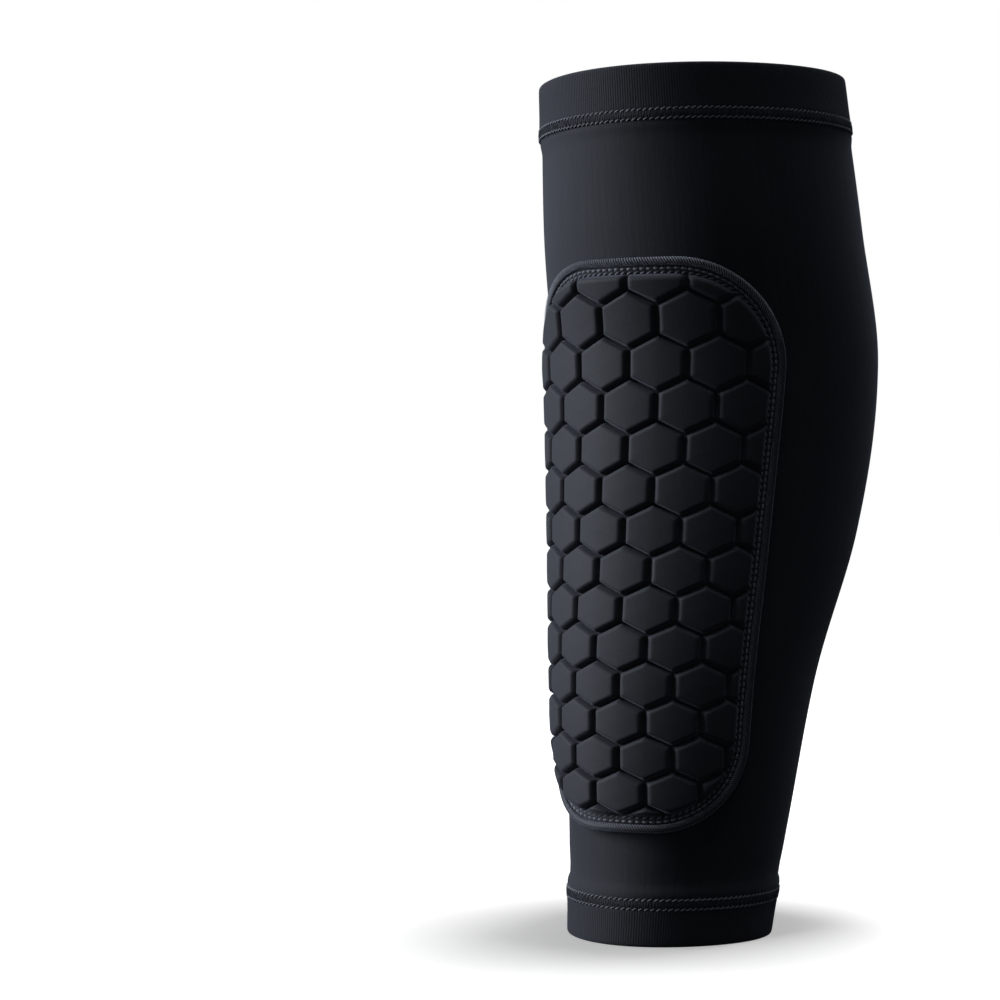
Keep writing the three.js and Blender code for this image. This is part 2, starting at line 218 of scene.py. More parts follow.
class Wire:
    """One socket of a material's nodes. An expression on wires adds the Math nodes for it."""

    def __init__(self, tree, socket=None):
        self.tree = tree
        self.socket = socket

    def node(self, kind, settings, values, output=0):
        """Adds a node of a kind, sets its settings first and then the values or wires of its sockets."""
        made = self.tree.nodes.new("ShaderNode" + kind)
        for setting, value in settings.items():
            setattr(made, setting, value)
        for name, value in values.items():
            if isinstance(value, Wire):
                self.tree.links.new(value.socket, made.inputs[name])
            else:
                made.inputs[name].default_value = value
        return Wire(self.tree, made.outputs[output] if made.outputs else None)

    def math(self, operation, *values):
        """Adds a Math node that works on wires and numbers."""
        return self.node("Math", {"operation": operation}, dict(enumerate(values)))

    def __add__(self, other):
        return self.math("ADD", self, other)

    def __sub__(self, other):
        return self.math("SUBTRACT", self, other)

    def __rsub__(self, other):
        return self.math("SUBTRACT", other, self)

    def __mul__(self, other):
        return self.math("MULTIPLY", self, other)

    __radd__ = __add__
    __rmul__ = __mul__


def wave(wire, pitch):
    """A sine of a length in metres, from 0 to 1, once in each pitch."""
    return wire.math("SINE", wire * (2 * math.pi / pitch)) * 0.5 + 0.5


def blank_finish(name):
    """A material without nodes, and a wire to start its tree from."""
    material = bpy.data.materials.new(name)
    material.use_nodes = True
    material.node_tree.nodes.clear()
    return material, Wire(material.node_tree)


def finished(material, start, sockets):
    """The material, with one Principled shader on its surface."""
    start.node("OutputMaterial", {}, {"Surface": start.node("BsdfPrincipled", {}, sockets)})
    return material


def mixed(start, share, one, other):
    """The first colour at share 0 and the other at share 1."""
    return start.node("Mix", {"data_type": "RGBA", "blend_type": "MIX"}, {0: share, 6: one, 7: other}, 2)


MOTTLE_SCALE, FIBRE_SCALE = 38.0, 1500.0
LINT_SCALE, LINT_RADIUS = 75.0, 0.011
LINT_COLOUR = (0.3, 0.31, 0.34, 1)


def cloth_finish(name, colour, weave, depth, rough=0.85, sheen=0.35, lint=0.0, fuzz=0.25, mottle=0.16):
    """Dyed cloth. The colour is mottled by slow and fine noise, weave gives the height of the yarns from the
    cloth map and the place, and a few pale specks of lint lie on it. The weave's height also lightens the
    colour where the yarns stand high and darkens it in the hollows between them, which is painted shade."""
    material, start = blank_finish(name)
    place = start.node("TexCoord", {}, {}, "Object")
    cloth_map = start.node("TexCoord", {}, {}, "UV")
    u = start.node("SeparateXYZ", {}, {0: cloth_map}, "X")
    v = start.node("SeparateXYZ", {}, {0: cloth_map}, "Y")
    slow = start.node("TexNoise", {}, {"Vector": place, "Scale": MOTTLE_SCALE, "Detail": 3.0})
    fine = start.node("TexNoise", {}, {"Vector": place, "Scale": FIBRE_SCALE, "Detail": 2.0})
    height = weave(start, u, v, place)
    # The tone is the cloth's own slow mottle and fibre grain, plus the weave's height. The height's streaks
    # of uneven yarn are real tone, but its loops, ribs and bubbles make the yarn tops lighter and the hollows
    # between them darker, which is painted shade.
    shade = (slow - 0.5) * (2 * mottle) + (fine - 0.5) * 0.5 + height * 0.3 + 0.85
    dye_and_painted_shade = mixed(start, shade * 0.5, (0, 0, 0, 1), (*[2 * c for c in colour], 1))
    if lint:
        speck = start.node("TexVoronoi", {}, {"Vector": place, "Scale": LINT_SCALE})
        chosen = start.node("TexVoronoi", {}, {"Vector": place, "Scale": LINT_SCALE}, "Color")
        chance = start.node("SeparateXYZ", {}, {0: chosen}, "X")
        near = speck.math("LESS_THAN", speck, LINT_RADIUS)
        rare = chance.math("GREATER_THAN", chance, 1 - lint)
        dye_and_painted_shade = mixed(start, near * rare * 0.55, dye_and_painted_shade, LINT_COLOUR)
    raised = height + (fine - 0.5) * fuzz
    bump = start.node("Bump", {}, {"Strength": 0.9, "Distance": depth, "Height": raised})
    return finished(material, start, {
        "Base Color": dye_and_painted_shade,
        "Roughness": (slow - 0.5) * 0.12 + rough,
        "Normal": bump,
        "Specular IOR Level": 0.28,
        "Sheen Weight": sheen,
        "Sheen Roughness": 0.42,
        "Sheen Tint": (0.62, 0.66, 0.8, 1),
    })


def jersey(start, u, v, place):
    """Stocking stitch: columns of loops down the leg, each loop a shallow V across its column, with the
    long faint streaks of uneven yarn."""
    column = wave(u, 0.95 * MM)
    lean = start.math("ABSOLUTE", column - 0.5)
    row = wave(v + lean * (0.5 * MM), 0.7 * MM)
    drawn_out = start.node("CombineXYZ", {}, {0: u, 1: v * 0.05, 2: 0.0})
    streak = start.node("TexNoise", {}, {"Vector": drawn_out, "Scale": 620.0, "Detail": 2.0})
    return column * 0.45 + row * 0.15 + (streak - 0.5) * 1.6 + 0.2


KNIT_COLOUR = (0.0215, 0.0225, 0.0275)
knit_finish = cloth_finish("black_stretch_knit", KNIT_COLOUR, jersey, 0.05 * MM, 0.82, 0.3, 0.1)


def bell(x, middle, width):
    """A smooth bump of height 1 at its middle: e to the minus half of the distance over width squared."""
    return np.exp(-0.5 * ((x - middle) / width) ** 2)


def stands_out(z, seam, shape):
    """How far the cloth stands out near a seam: a bell with the shape's reach, height above the seam and
    width."""
    reach, above, width = shape
    return reach * bell(z, seam + above, width)


knit_angles, knit_girth = even_angles(KNIT_STATIONS, KNIT_SPACED_AT)
climb = np.linspace(KNIT_LOW, KNIT_HIGH, KNIT_ROWS_OUT)
descent = np.linspace(KNIT_HIGH, KNIT_LOW, KNIT_ROWS_IN)
turned = np.sin(np.linspace(0, math.pi, 5))[1:-1, None]
knit_z = np.concatenate([
    climb,
    KNIT_HIGH + KNIT_EDGE_ROUND * turned[:, 0],
    descent,
    KNIT_LOW - KNIT_EDGE_ROUND * turned[:, 0],
])[:, None]
edge_share = np.linspace(0, 1, 5)[1:-1]
layer_out = np.concatenate([
    np.zeros(KNIT_ROWS_OUT),
    -KNIT_THICK * edge_share,
    np.full(KNIT_ROWS_IN, -KNIT_THICK),
    -KNIT_THICK * (1 - edge_share),
])[:, None]
round_leg = knit_angles[None, :]
roll_out, roll_up, roll_wide = ROLL_OVER_BOTTOM_SEAM
roll_over_seam = roll_out * np.exp(-((knit_z - BOTTOM_SEAM - roll_up) / roll_wide) ** 4)
drawn_in = stands_out(knit_z, BOTTOM_SEAM, DRAWN_IN_ABOVE_IT)
below_top_hem = stands_out(knit_z, TOP_SEAM, FULL_UNDER_TOP_HEM)
from_back_seam = (np.abs(round_leg) - math.pi) * BACK_RADIUS
seam_ridge = SEAM_RIDGE * bell(from_back_seam, 0, SEAM_RIDGE_WIDE)
uneven = UNEVEN * (np.sin(3 * round_leg + 41 * knit_z + 1.0) + np.sin(5 * round_leg - 63 * knit_z + 2.1))
knit_out = layer_out + roll_over_seam + drawn_in + below_top_hem + seam_ridge + uneven
knit_tube = leg_tube(
    "knit_tube", knit_out, knit_z, knit_angles, knit_girth, knit_finish, ["sleeve_knit_tube"], "knit"
)


# ---- Back seam ----
# The panel's two edges are butted down the calf and joined with a flatlock seam: four rows of needle
# thread, tied across by a zigzag of cover thread outside and by the same inside.

SEAM_WIDE = 5.0 * MM
SEAM_PITCH = 1.3 * MM
SEAM_YARN = 0.17 * MM
SEAM_OUTSIDE = 0.36 * MM
SEAM_INSIDE = -KNIT_THICK - 0.06 * MM
SEAM_ROWS = (-0.8, -0.27, 0.27, 0.8)  # shares of the seam's half width
CROSS_LIFT = 0.10 * MM
ROW_LIFT = 0.20 * MM
THREAD_END = 0.45  # an open end's radius over the thread's
STATIONS_PER_STITCH = 6


def tubes(paths, normals, radius, sides, closed):
    """Round threads along paths [thread, station, xyz]. Each ring of the tube is the path's point plus
    radius times the circle spanned by the normal and the side. Open ends narrow and are capped."""
    threads, stations = paths.shape[:2]
    radii = np.full((threads, stations), radius)
    if closed:
        tangent = np.roll(paths, -1, 1) - np.roll(paths, 1, 1)
    else:
        tangent = np.gradient(paths, axis=1)
        radii[:, [0, -1]] *= THREAD_END
    tangent /= np.linalg.norm(tangent, axis=-1, keepdims=True)
    side = np.cross(tangent, normals)
    side /= np.linalg.norm(side, axis=-1, keepdims=True)
    up = np.cross(side, tangent)
    turn = 2 * math.pi * np.arange(sides) / sides
    ring = up[:, :, None] * np.cos(turn)[:, None] + side[:, :, None] * np.sin(turn)[:, None]
    points = paths[:, :, None] + radii[:, :, None, None] * ring
    quads, _, _ = grid_faces(stations, sides, closed, True)
    start = np.arange(threads)[:, None, None] * stations * sides
    faces = [(start + quads).reshape(-1, 4)]
    if not closed:
        cap = np.arange(sides)[None, :]
        faces.append(start[:, 0] + cap[:, ::-1])
        faces.append(start[:, 0] + (stations - 1) * sides + cap)
    return points.reshape(-1, 3), faces


def joined(parts):
    """Several meshes of points and faces as one."""
    points, faces, count = [], [], 0
    for part_points, part_faces in parts:
        points.append(part_points)
        faces += [block + count for block in part_faces]
        count += len(part_points)
    return np.concatenate(points), faces


def leg_normal(t, z):
    """The way out from the leg at angle t and height z."""
    way = on_leg(t, z, MM) - on_leg(t, z, 0)
    return way / np.linalg.norm(way, axis=-1, keepdims=True)


def yarn(start, u, v, place):
    """Twisted yarn: fine slanting plies."""
    x = start.node("SeparateXYZ", {}, {0: place}, "X")
    z = start.node("SeparateXYZ", {}, {0: place}, "Z")
    return wave(x + z * 1.4, 0.34 * MM)


THREAD_COLOUR = (0.17, 0.174, 0.194)
thread_finish = cloth_finish(
    "black_polyester_thread", THREAD_COLOUR, yarn, 0.03 * MM, rough=0.6, sheen=0.5
)


def seam_thread(across, z, out):
    """One thread down the calf, a given way across from the seam's middle."""
    t = math.pi + across / BACK_RADIUS
    return tubes(on_leg(t, z, out)[None], leg_normal(t, z)[None], SEAM_YARN, 5, False)


seam_low, seam_high = (corner.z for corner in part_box("back_seam_cover_thread"))
seam_stitches = round((seam_high - seam_low) / SEAM_PITCH)
seam_phase = np.linspace(0, seam_stitches, STATIONS_PER_STITCH * seam_stitches + 1)
seam_z = seam_low + (seam_high - seam_low) * seam_phase / seam_stitches
seam_swing = np.abs((seam_phase % 1) * 2 - 1) * 2 - 1
for seam_name, node, face, way in (
    ("back_seam_outside", "back_seam_cover_thread", SEAM_OUTSIDE, 1),
    ("back_seam_inside", "back_seam_looper_thread", SEAM_INSIDE, -1),
):
    parts = [seam_thread(seam_swing * SEAM_WIDE / 2, seam_z, face + way * CROSS_LIFT)]
    for share in SEAM_ROWS:
        across = np.full_like(seam_z, share * SEAM_WIDE / 2)
        lift = ROW_LIFT * np.abs(np.sin(math.pi * seam_phase + share))
        parts.append(seam_thread(across, seam_z, face + way * lift))
    make_piece(seam_name, *joined(parts), thread_finish, [node], "thread")


# ---- Hem bands ----
# Each end of the tube is finished with a strip of fine rib knit folded double over the rim. Its ribs
# run up the leg, and the fold is soft and round.

BAND_CLOTH = 0.8 * MM
BAND_FACE = 1.1 * MM
BAND_INSIDE = -2.1 * MM
RIB_PITCH = 0.95 * MM
RIB_HIGH = 0.06 * MM
POINTS_PER_RIB = 5
NEEDLE_ROWS = (0.9 * MM, 4.3 * MM)  # from the band's cut edge
STITCH_SINK = 0.22 * MM
STITCHED = 6.0 * MM  # from the cut edge, where the stitches shape the band
FOLD_POWER = 0.62
PULL_WIDE = 0.45 * MM
RIB_UNDER_STITCH = 0.4  # of its height left where a needle row presses it
PUFF_BETWEEN_ROWS, PUFF_WIDE = 0.18 * MM, 0.9 * MM
EDGE_TURNED_IN, EDGE_WIDE = 0.62 * MM, 0.42 * MM
WAIST, WAIST_FROM_CUT, WAIST_WIDE = 0.12 * MM, 9 * MM, 4 * MM
BAND_SLACK = 0.12 * MM


def rib_knit(start, u, v, place):
    """Loops across each rib."""
    return wave(v + u * 0.4, 0.6 * MM) * 0.6 + wave(u, RIB_PITCH / 2) * 0.4


RIB_COLOUR = (0.02, 0.021, 0.026)
rib_finish = cloth_finish("black_fine_rib", RIB_COLOUR, rib_knit, 0.04 * MM, rough=0.86, sheen=0.28)


def girth_at(z):
    """The way round the leg at height z."""
    return even_angles(8, z)[1]


def folded_band(name, rim, cut, node):
    """A strip folded over the rim, as a closed profile carried round the leg. The outer skin runs up from
    the cut edge, over a squarish round fold and down inside, and the inner skin comes back inside it. The
    skin stands out by the ribs' height times a sine round the leg, and sinks where the needles pull it."""
    side = 1 if rim > cut else -1
    fold = (BAND_FACE - BAND_INSIDE) / 2
    heart = (BAND_FACE + BAND_INSIDE) / 2
    straight = abs(rim - cut) - fold
    turn = np.linspace(0, math.pi, 9)[1:-1]
    rise = np.concatenate([np.linspace(0, STITCHED, 15), np.linspace(STITCHED, straight, 5)[1:]])
    drop = np.linspace(straight, 0, 8)

    def skin(reach, up, down):
        """Distance out and height from the cut edge: up one face, over the fold and down the other. The
        fold is a superellipse."""
        over_out = reach * np.sign(np.cos(turn)) * np.abs(np.cos(turn)) ** FOLD_POWER
        over_up = straight + reach * np.sin(turn) ** FOLD_POWER
        out = heart + np.concatenate([np.full(len(up), reach), over_out, np.full(len(down), -reach)])
        return out, np.concatenate([up, over_up, down])

    outer_out, outer_up = skin(fold, rise, drop)
    inner_out, inner_up = skin(fold - BAND_CLOTH, drop[::-1], drop)
    out = np.concatenate([outer_out, inner_out[::-1]])[:, None]
    from_cut = np.concatenate([outer_up, inner_up[::-1]])[:, None]
    way = np.concatenate([
        np.ones(len(rise)),
        np.cos(turn),
        -np.ones(len(drop)),
        np.zeros(len(inner_out)),
    ])[:, None]
    middle = (rim + cut) / 2
    angles, girth = even_angles(round(girth_at(middle) / RIB_PITCH) * POINTS_PER_RIB, middle)
    phase = 2 * math.pi * np.arange(len(angles))[None, :] / POINTS_PER_RIB
    pulled = sum(bell(from_cut, row, PULL_WIDE) for row in NEEDLE_ROWS)
    puffed = PUFF_BETWEEN_ROWS * bell(from_cut, sum(NEEDLE_ROWS) / 2, PUFF_WIDE)
    rib = RIB_HIGH * np.sin(phase) * (1 - (1 - RIB_UNDER_STITCH) * np.clip(pulled, 0, 1))
    rolled = EDGE_TURNED_IN * bell(from_cut, 0, EDGE_WIDE)
    rolled = rolled + WAIST * bell(from_cut, WAIST_FROM_CUT, WAIST_WIDE)
    slack = BAND_SLACK * np.sin(4 * angles[None, :] + 1.3)
    out = out + way * (rib + puffed - rolled - STITCH_SINK * pulled) + slack
    return leg_tube(name, out, cut + side * from_cut, angles, girth, rib_finish, [node], "rib")


HEMS = {
    "top": (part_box("top_cuff_band")[1].z, TOP_SEAM),
    "bottom": (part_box("bottom_cuff_band")[0].z, BOTTOM_SEAM),
}
bands = {
    end: folded_band(f"{end}_band", rim, cut, f"{end}_cuff_band") for end, (rim, cut) in HEMS.items()
}


# ---- Hem elastics ----
# A flat woven elastic tape lies in each fold and holds the hem on the leg.

ELASTIC_STATIONS, ELASTIC_ROWS = 240, 14
ELASTIC_THICK = 0.8 * MM
ELASTIC_FACE = -0.1 * MM
CORD_RIPPLE = 0.06 * MM
CORD_PITCH = 1.6 * MM


def woven_tape(start, u, v, place):
    """Cords of rubber along the tape, bound by fine yarns across it."""
    return wave(v, 1.1 * MM) * 0.6 + wave(u, 0.5 * MM) * 0.4


elastic_finish = cloth_finish("black_woven_elastic", (0.03, 0.03, 0.032), woven_tape, 0.05 * MM, sheen=0.1)

for end in HEMS:
    tape_low, tape_high = (corner.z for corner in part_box(f"{end}_cuff_elastic"))
    angles, girth = even_angles(ELASTIC_STATIONS, (tape_low + tape_high) / 2)
    rise = np.linspace(tape_low, tape_high, ELASTIC_ROWS)
    ripple = CORD_RIPPLE * np.sin(rise * 2 * math.pi / CORD_PITCH)
    out = ELASTIC_FACE - np.concatenate([ripple + CORD_RIPPLE, ripple[::-1] + ELASTIC_THICK])[:, None]
    z = np.concatenate([rise, rise[::-1]])[:, None]
    leg_tube(f"{end}_elastic", out, z, angles, girth, elastic_finish, [f"{end}_cuff_elastic"], "elastic")


# ---- Hem coverstitch ----
# Each band is sewn to the tube with a coverstitch: two rows of needle thread that show as slanted
# dashes, a cover thread swinging between them outside, and a looper thread inside.

STITCH_PITCH = 2.15 * MM
DASH_SHARE = 0.6
DASH_RISE = 0.6 * MM
DASH_ARCH = 0.22 * MM
DASH_DIVE = 0.5 * MM
DASH_SETTLED = 0.06 * MM  # how far the whole row has sunk into the ribs
STITCH_YARN = 0.26 * MM
COVER_YARN = 0.09 * MM
COVER_LIFT = 0.1 * MM
COVER_CURL = 0.15
NEEDLE_FACE = BAND_FACE - STITCH_SINK + 0.12 * MM
COVER_FACE = BAND_FACE + 0.16 * MM
LOOPER_FACE = BAND_INSIDE - 0.12 * MM
SHORT_OF_ROWS = 0.3 * MM
STEPS_PER_STITCH = 10
FINE_ANGLES = 4000

cover_thread_finish = cloth_finish("black_cover_thread", (0.03, 0.031, 0.038), yarn, 0.03 * MM, rough=0.75)


def stitches_round(z):
    """How many stitches have been sewn, and the angle reached, at even steps round the hem at height z."""
    count = round(girth_at(z) / STITCH_PITCH)
    sewn = np.arange(count * STEPS_PER_STITCH) / STEPS_PER_STITCH
    fine, _ = even_angles(FINE_ANGLES, z)
    return sewn, np.interp(sewn / count, np.arange(FINE_ANGLES) / FINE_ANGLES, np.unwrap(fine))


def needle_row(z, face):
    """One thread round the hem. It lies on the cloth for a slanted dash, dives into it and comes up at
    the start of the next dash."""
    sewn, t = stitches_round(z)
    phase = sewn % 1
    on_top = phase < DASH_SHARE
    share = np.where(on_top, phase / DASH_SHARE, (1 - phase) / (1 - DASH_SHARE))
    height = z + DASH_RISE * (share - 0.5)
    arch = DASH_ARCH * np.sin(math.pi * phase / DASH_SHARE)
    dive = -DASH_DIVE * np.sin(math.pi * (phase - DASH_SHARE) / (1 - DASH_SHARE))
    out = face - DASH_SETTLED + np.where(on_top, arch, dive)
    return tubes(on_leg(t, height, out)[None], leg_normal(t, height)[None], STITCH_YARN, 6, True)


def swinging_row(z, reach, face, yarn_radius, way):
    """One thread round the hem that swings up and down by reach, once in each stitch, with a little of
    the third harmonic, and rises where it crosses the middle."""
    sewn, t = stitches_round(z)
    height = z + reach * (np.sin(2 * math.pi * sewn) + COVER_CURL * np.sin(6 * math.pi * sewn))
    out = face + way * COVER_LIFT * np.cos(4 * math.pi * sewn)
    return tubes(on_leg(t, height, out)[None], leg_normal(t, height)[None], yarn_radius, 5, True)


hem_threads = {end: [] for end in HEMS}
for end, (rim, cut) in HEMS.items():
    inward = 1 if rim > cut else -1
    edge_row, inner_row = (cut + inward * row for row in NEEDLE_ROWS)
    between = (edge_row + inner_row) / 2
    swing = (NEEDLE_ROWS[1] - NEEDLE_ROWS[0]) / 2 - SHORT_OF_ROWS
    threads = {
        "needle_thread_edge": needle_row(edge_row, NEEDLE_FACE),
        "needle_thread_inner": needle_row(inner_row, NEEDLE_FACE),
        "cover_thread": swinging_row(between, swing, COVER_FACE, COVER_YARN, 1),
        "looper_thread": swinging_row(between, swing, LOOPER_FACE, STITCH_YARN, -1),
    }
    for thread, mesh in threads.items():
        finish = cover_thread_finish if thread == "cover_thread" else thread_finish
        hem_threads[end].append(
            make_piece(f"{end}_{thread}_stitches", *mesh, finish, [f"{end}_{thread}"], "thread")
        )


# ---- Silicone grip ----
# Two wavy beads of silicone are printed inside the top band and stop the sleeve from sliding down.

BEAD_RADIUS = 0.75 * MM
BEAD_WAVE = 0.8 * MM
BEAD_PITCH = 10.0 * MM
BEAD_SUNK = 0.3 * MM
STEPS_PER_WAVE = 12

silicone_finish, bead_start = blank_finish("charcoal_silicone")
bead_place = bead_start.node("TexCoord", {}, {}, "Object")
bead_flow = bead_start.node("TexNoise", {}, {"Vector": bead_place, "Scale": 260.0, "Detail": 2.0})
bead_bump = bead_start.node("Bump", {}, {"Strength": 0.4, "Distance": 0.1 * MM, "Height": bead_flow})
finished(silicone_finish, bead_start, {
    "Base Color": (0.04, 0.04, 0.045, 1),
    "Roughness": bead_flow * 0.15 + 0.3,
    "Normal": bead_bump,
})

for place in ("lower", "upper"):
    node = f"silicone_grip_{place}"
    bead_z = (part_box(node)[0].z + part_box(node)[1].z) / 2
    waves = round(girth_at(bead_z) / BEAD_PITCH)
    angles, _ = even_angles(waves * STEPS_PER_WAVE, bead_z)
    height = bead_z + BEAD_WAVE * np.sin(2 * math.pi * waves * np.arange(len(angles)) / len(angles))
    path = on_leg(angles, height, BAND_INSIDE - BEAD_SUNK)
    bead = tubes(path[None], leg_normal(angles, height)[None], BEAD_RADIUS, 8, True)
    make_piece(f"grip_bead_{place}", *bead, silicone_finish, [node], "silicone")


# ---- Pad backing ----
# A smooth lining cloth behind the foam, cut to the pad's outline: a tall shape with big round corners,
# wider at the top, that bends round the shin.

PAD_LOW, PAD_HIGH = 41.2 * MM, 250.2 * MM
LOW_HALF_WIDE, HIGH_HALF_WIDE = 45.6 * MM, 55.4 * MM
LOW_RADIUS, HIGH_RADIUS = 36.0 * MM, 39.0 * MM
LOW_CORNER = np.array([LOW_HALF_WIDE - LOW_RADIUS, PAD_LOW + LOW_RADIUS])
HIGH_CORNER = np.array([HIGH_HALF_WIDE - HIGH_RADIUS, PAD_HIGH - HIGH_RADIUS])
LAMINATE_INSET = 2.0 * MM

FIRST_ROW_HIGH = 227.6 * MM
ROW_STEP = 16.1 * MM
ROW_STEP_LOSS = 0.148 * MM
CELL_WIDE_AT_ANKLE = 16.27 * MM
CELL_WIDE_PER_HEIGHT = 0.0178
HALF_CELLS_TO_SIDE = 6
TOP_THIRD, BOTTOM_THIRD = -2, 43  # thirds of a row that the honeycomb's grid runs from and to
BACKING_STEPS, FOAM_STEPS, COVER_STEPS = 4, 8, 14

BOW_MIDDLE, BOW_REACH = 150 * MM, 80 * MM
SHIFT, LEAN, BOW = -0.3 * MM, 0.53 * MM, 1.41 * MM
BACKING_UNDER, BACKING_TOP = 0.9 * MM, 1.4 * MM

GAUSS_AT, GAUSS_WEIGHT = np.polynomial.legendre.leggauss(10)
NEWTON_STEPS = 5

corner_way = HIGH_CORNER - LOW_CORNER
SIDE_LEAN = math.asin((LOW_RADIUS - HIGH_RADIUS) / np.hypot(*corner_way)) - math.atan2(*corner_way)
SIDE_NORMAL = np.array([math.cos(SIDE_LEAN), math.sin(SIDE_LEAN)])
SIDE_RISE = np.array([-math.sin(SIDE_LEAN), math.cos(SIDE_LEAN)])


def angle_across(across, z):
    """The angle at which a point of the pad lies, a given way round from the shin line. The pad was sewn
    on with a slight lean and bow: a line and a square of the height. The way round to an angle is the
    integral of the section's speed, and Newton's steps invert it."""
    share = (z - BOW_MIDDLE) / BOW_REACH
    across = across + SHIFT + LEAN * share + BOW * share**2
    deep, _ = section_at(z)
    t = across / deep
    for _ in range(NEWTON_STEPS):
        inner = t[..., None] * (GAUSS_AT + 1) / 2
        speed = np.hypot(*section_tangent(inner, deep[..., None]))
        way = t / 2 * (speed * GAUSS_WEIGHT).sum(-1)
        t = t - (way - across) / np.hypot(*section_tangent(t, deep))
    return t


def on_pad(across, z, out):
    """A point on the pad: across the shin, up the sleeve, and out from the knit's face."""
    across, z, out = np.broadcast_arrays(across, z, out)
    return on_leg(angle_across(across, z), z, out)


def inset_at(across, z):
    """How far inside the pad's edge a point is. By each straight edge it is the distance to that edge,
    and in a corner's wedge it is the corner's radius less the distance to its middle."""
    half = np.abs(across)
    from_low = np.stack([half, z], -1) - LOW_CORNER
    from_high = np.stack([half, z], -1) - HIGH_CORNER
    inset = np.minimum(LOW_RADIUS - from_low @ SIDE_NORMAL, np.minimum(PAD_HIGH - z, z - PAD_LOW))
    in_high = (from_high @ SIDE_RISE >= 0) & (from_high[..., 0] >= 0)
    in_low = (from_low @ SIDE_RISE <= 0) & (from_low[..., 0] >= 0)
    inset = np.where(in_high, HIGH_RADIUS - np.linalg.norm(from_high, axis=-1), inset)
    return np.where(in_low, LOW_RADIUS - np.linalg.norm(from_low, axis=-1), inset)


def cell_place(column, row):
    """Across the shin and up the sleeve, from half cells across and rows down. Row heights and cell
    widths both shrink a little towards the ankle."""
    z = FIRST_ROW_HIGH - ROW_STEP * (row - 1) + ROW_STEP_LOSS * (row - 1) ** 2
    return column * (CELL_WIDE_AT_ANKLE + CELL_WIDE_PER_HEIGHT * z) / 2, z


def cell_depth(column, row):
    """How far inside its own cell a point is, from the line down the middle of the groove round it."""
    _, z = cell_place(column, row)
    wide = CELL_WIDE_AT_ANKLE + CELL_WIDE_PER_HEIGHT * z
    step = ROW_STEP - 2 * ROW_STEP_LOSS * (row - 1)
    slant = np.hypot(2 / (3 * wide), 1 / step)
    best = np.full(column.shape, -np.inf)
    for near in (np.floor(row), np.floor(row) + 1):
        odd = (near + 1) % 2
        middle = 2 * np.round((column - odd) / 2) + odd
        across, down = np.abs(column - middle), np.abs(row - near)
        to_side = (1 - across) * wide / 2
        to_slant = (2 / 3 - across / 3 - down) / slant
        best = np.maximum(best, np.minimum(to_side, to_slant))
    return best


def pad_layer(steps, inset, top, under):
    """A closed sheet with the pad's outline. Its grid has so many steps to a half cell across and to a
    third of a row down, so that its lines and diagonals run along the honeycomb's grooves. Each quad is
    split along its more level diagonal. Points past the edge move in to it, and a skirt joins the two
    faces. top and under give the distance out from the column, row and inset of each point."""
    reach = HALF_CELLS_TO_SIDE * steps
    thirds = np.arange(TOP_THIRD * steps, BOTTOM_THIRD * steps + steps // 2) / steps
    column, row = np.meshgrid(np.arange(-reach, reach + 1) / steps, thirds / 3)
    across, z = cell_place(column, row)
    depth = inset_at(across, z)
    inside = depth >= inset
    nudge = 0.01 * MM
    slope_across = (inset_at(across + nudge, z) - depth) / nudge
    slope_up = (inset_at(across, z + nudge) - depth) / nudge
    move = np.where(inside, 0, inset - depth)
    across, z = across + move * slope_across, z + move * slope_up
    height = top(column, row, np.maximum(depth, inset))
    quads, _, _ = grid_faces(*column.shape, False, False)
    a, b, c, d = (quads[:, k] for k in range(4))
    lift = height.ravel()
    flat_way = np.abs(lift[a] - lift[c]) <= np.abs(lift[b] - lift[d])
    one = np.where(flat_way[:, None], np.stack([a, b, c], 1), np.stack([a, b, d], 1))
    two = np.where(flat_way[:, None], np.stack([a, c, d], 1), np.stack([b, c, d], 1))
    triangles = np.concatenate([one, two])
    triangles = triangles[inside.ravel()[triangles].any(1)]
    used, triangles = np.unique(triangles, return_inverse=True)
    triangles = triangles.reshape(-1, 3)
    edges = np.concatenate([triangles[:, [0, 1]], triangles[:, [1, 2]], triangles[:, [2, 0]]])
    key = np.sort(edges, 1)
    _, where, counts = np.unique(key[:, 0] * len(used) + key[:, 1], return_index=True, return_counts=True)
    rim = edges[where[counts == 1]]
    across, z, high, column, row = (field.ravel()[used] for field in (across, z, height, column, row))
    low = under(column, row, inset_at(across, z))
    angle = angle_across(across, z)
    points = np.concatenate([on_leg(angle, z, high), on_leg(angle, z, low)])
    count = len(used)
    skirt = np.stack([rim[:, 1], rim[:, 0], rim[:, 0] + count, rim[:, 1] + count], 1)
    faces = [triangles, triangles[:, ::-1] + count, skirt]
    flat = np.concatenate([np.stack([across, z], 1)] * 2)
    return points, faces, [flat[block] for block in faces]


def flat_face(out):
    """A face of the pad that lies the same distance out everywhere."""
    return lambda column, row, inset: np.full(column.shape, out)


def tricot(start, u, v, place):
    """Warp-knit lining: fine columns with a soft brushed face."""
    return wave(u, 0.5 * MM) * 0.5 + wave(v, 0.5 * MM) * 0.3


lining_finish = cloth_finish("black_lining", (0.024, 0.025, 0.029), tricot, 0.03 * MM, rough=0.9)

points, faces, flat_map = pad_layer(
    BACKING_STEPS, LAMINATE_INSET, flat_face(BACKING_TOP), flat_face(BACKING_UNDER)
)
backing = make_piece(
    "pad_backing", points, faces, lining_finish, ["pad_backing_cloth"], "lining", flat_map
)


# ---- Foam core ----
# One sheet of soft closed-cell foam, hot pressed into a field of raised hexagons joined by a thin web.

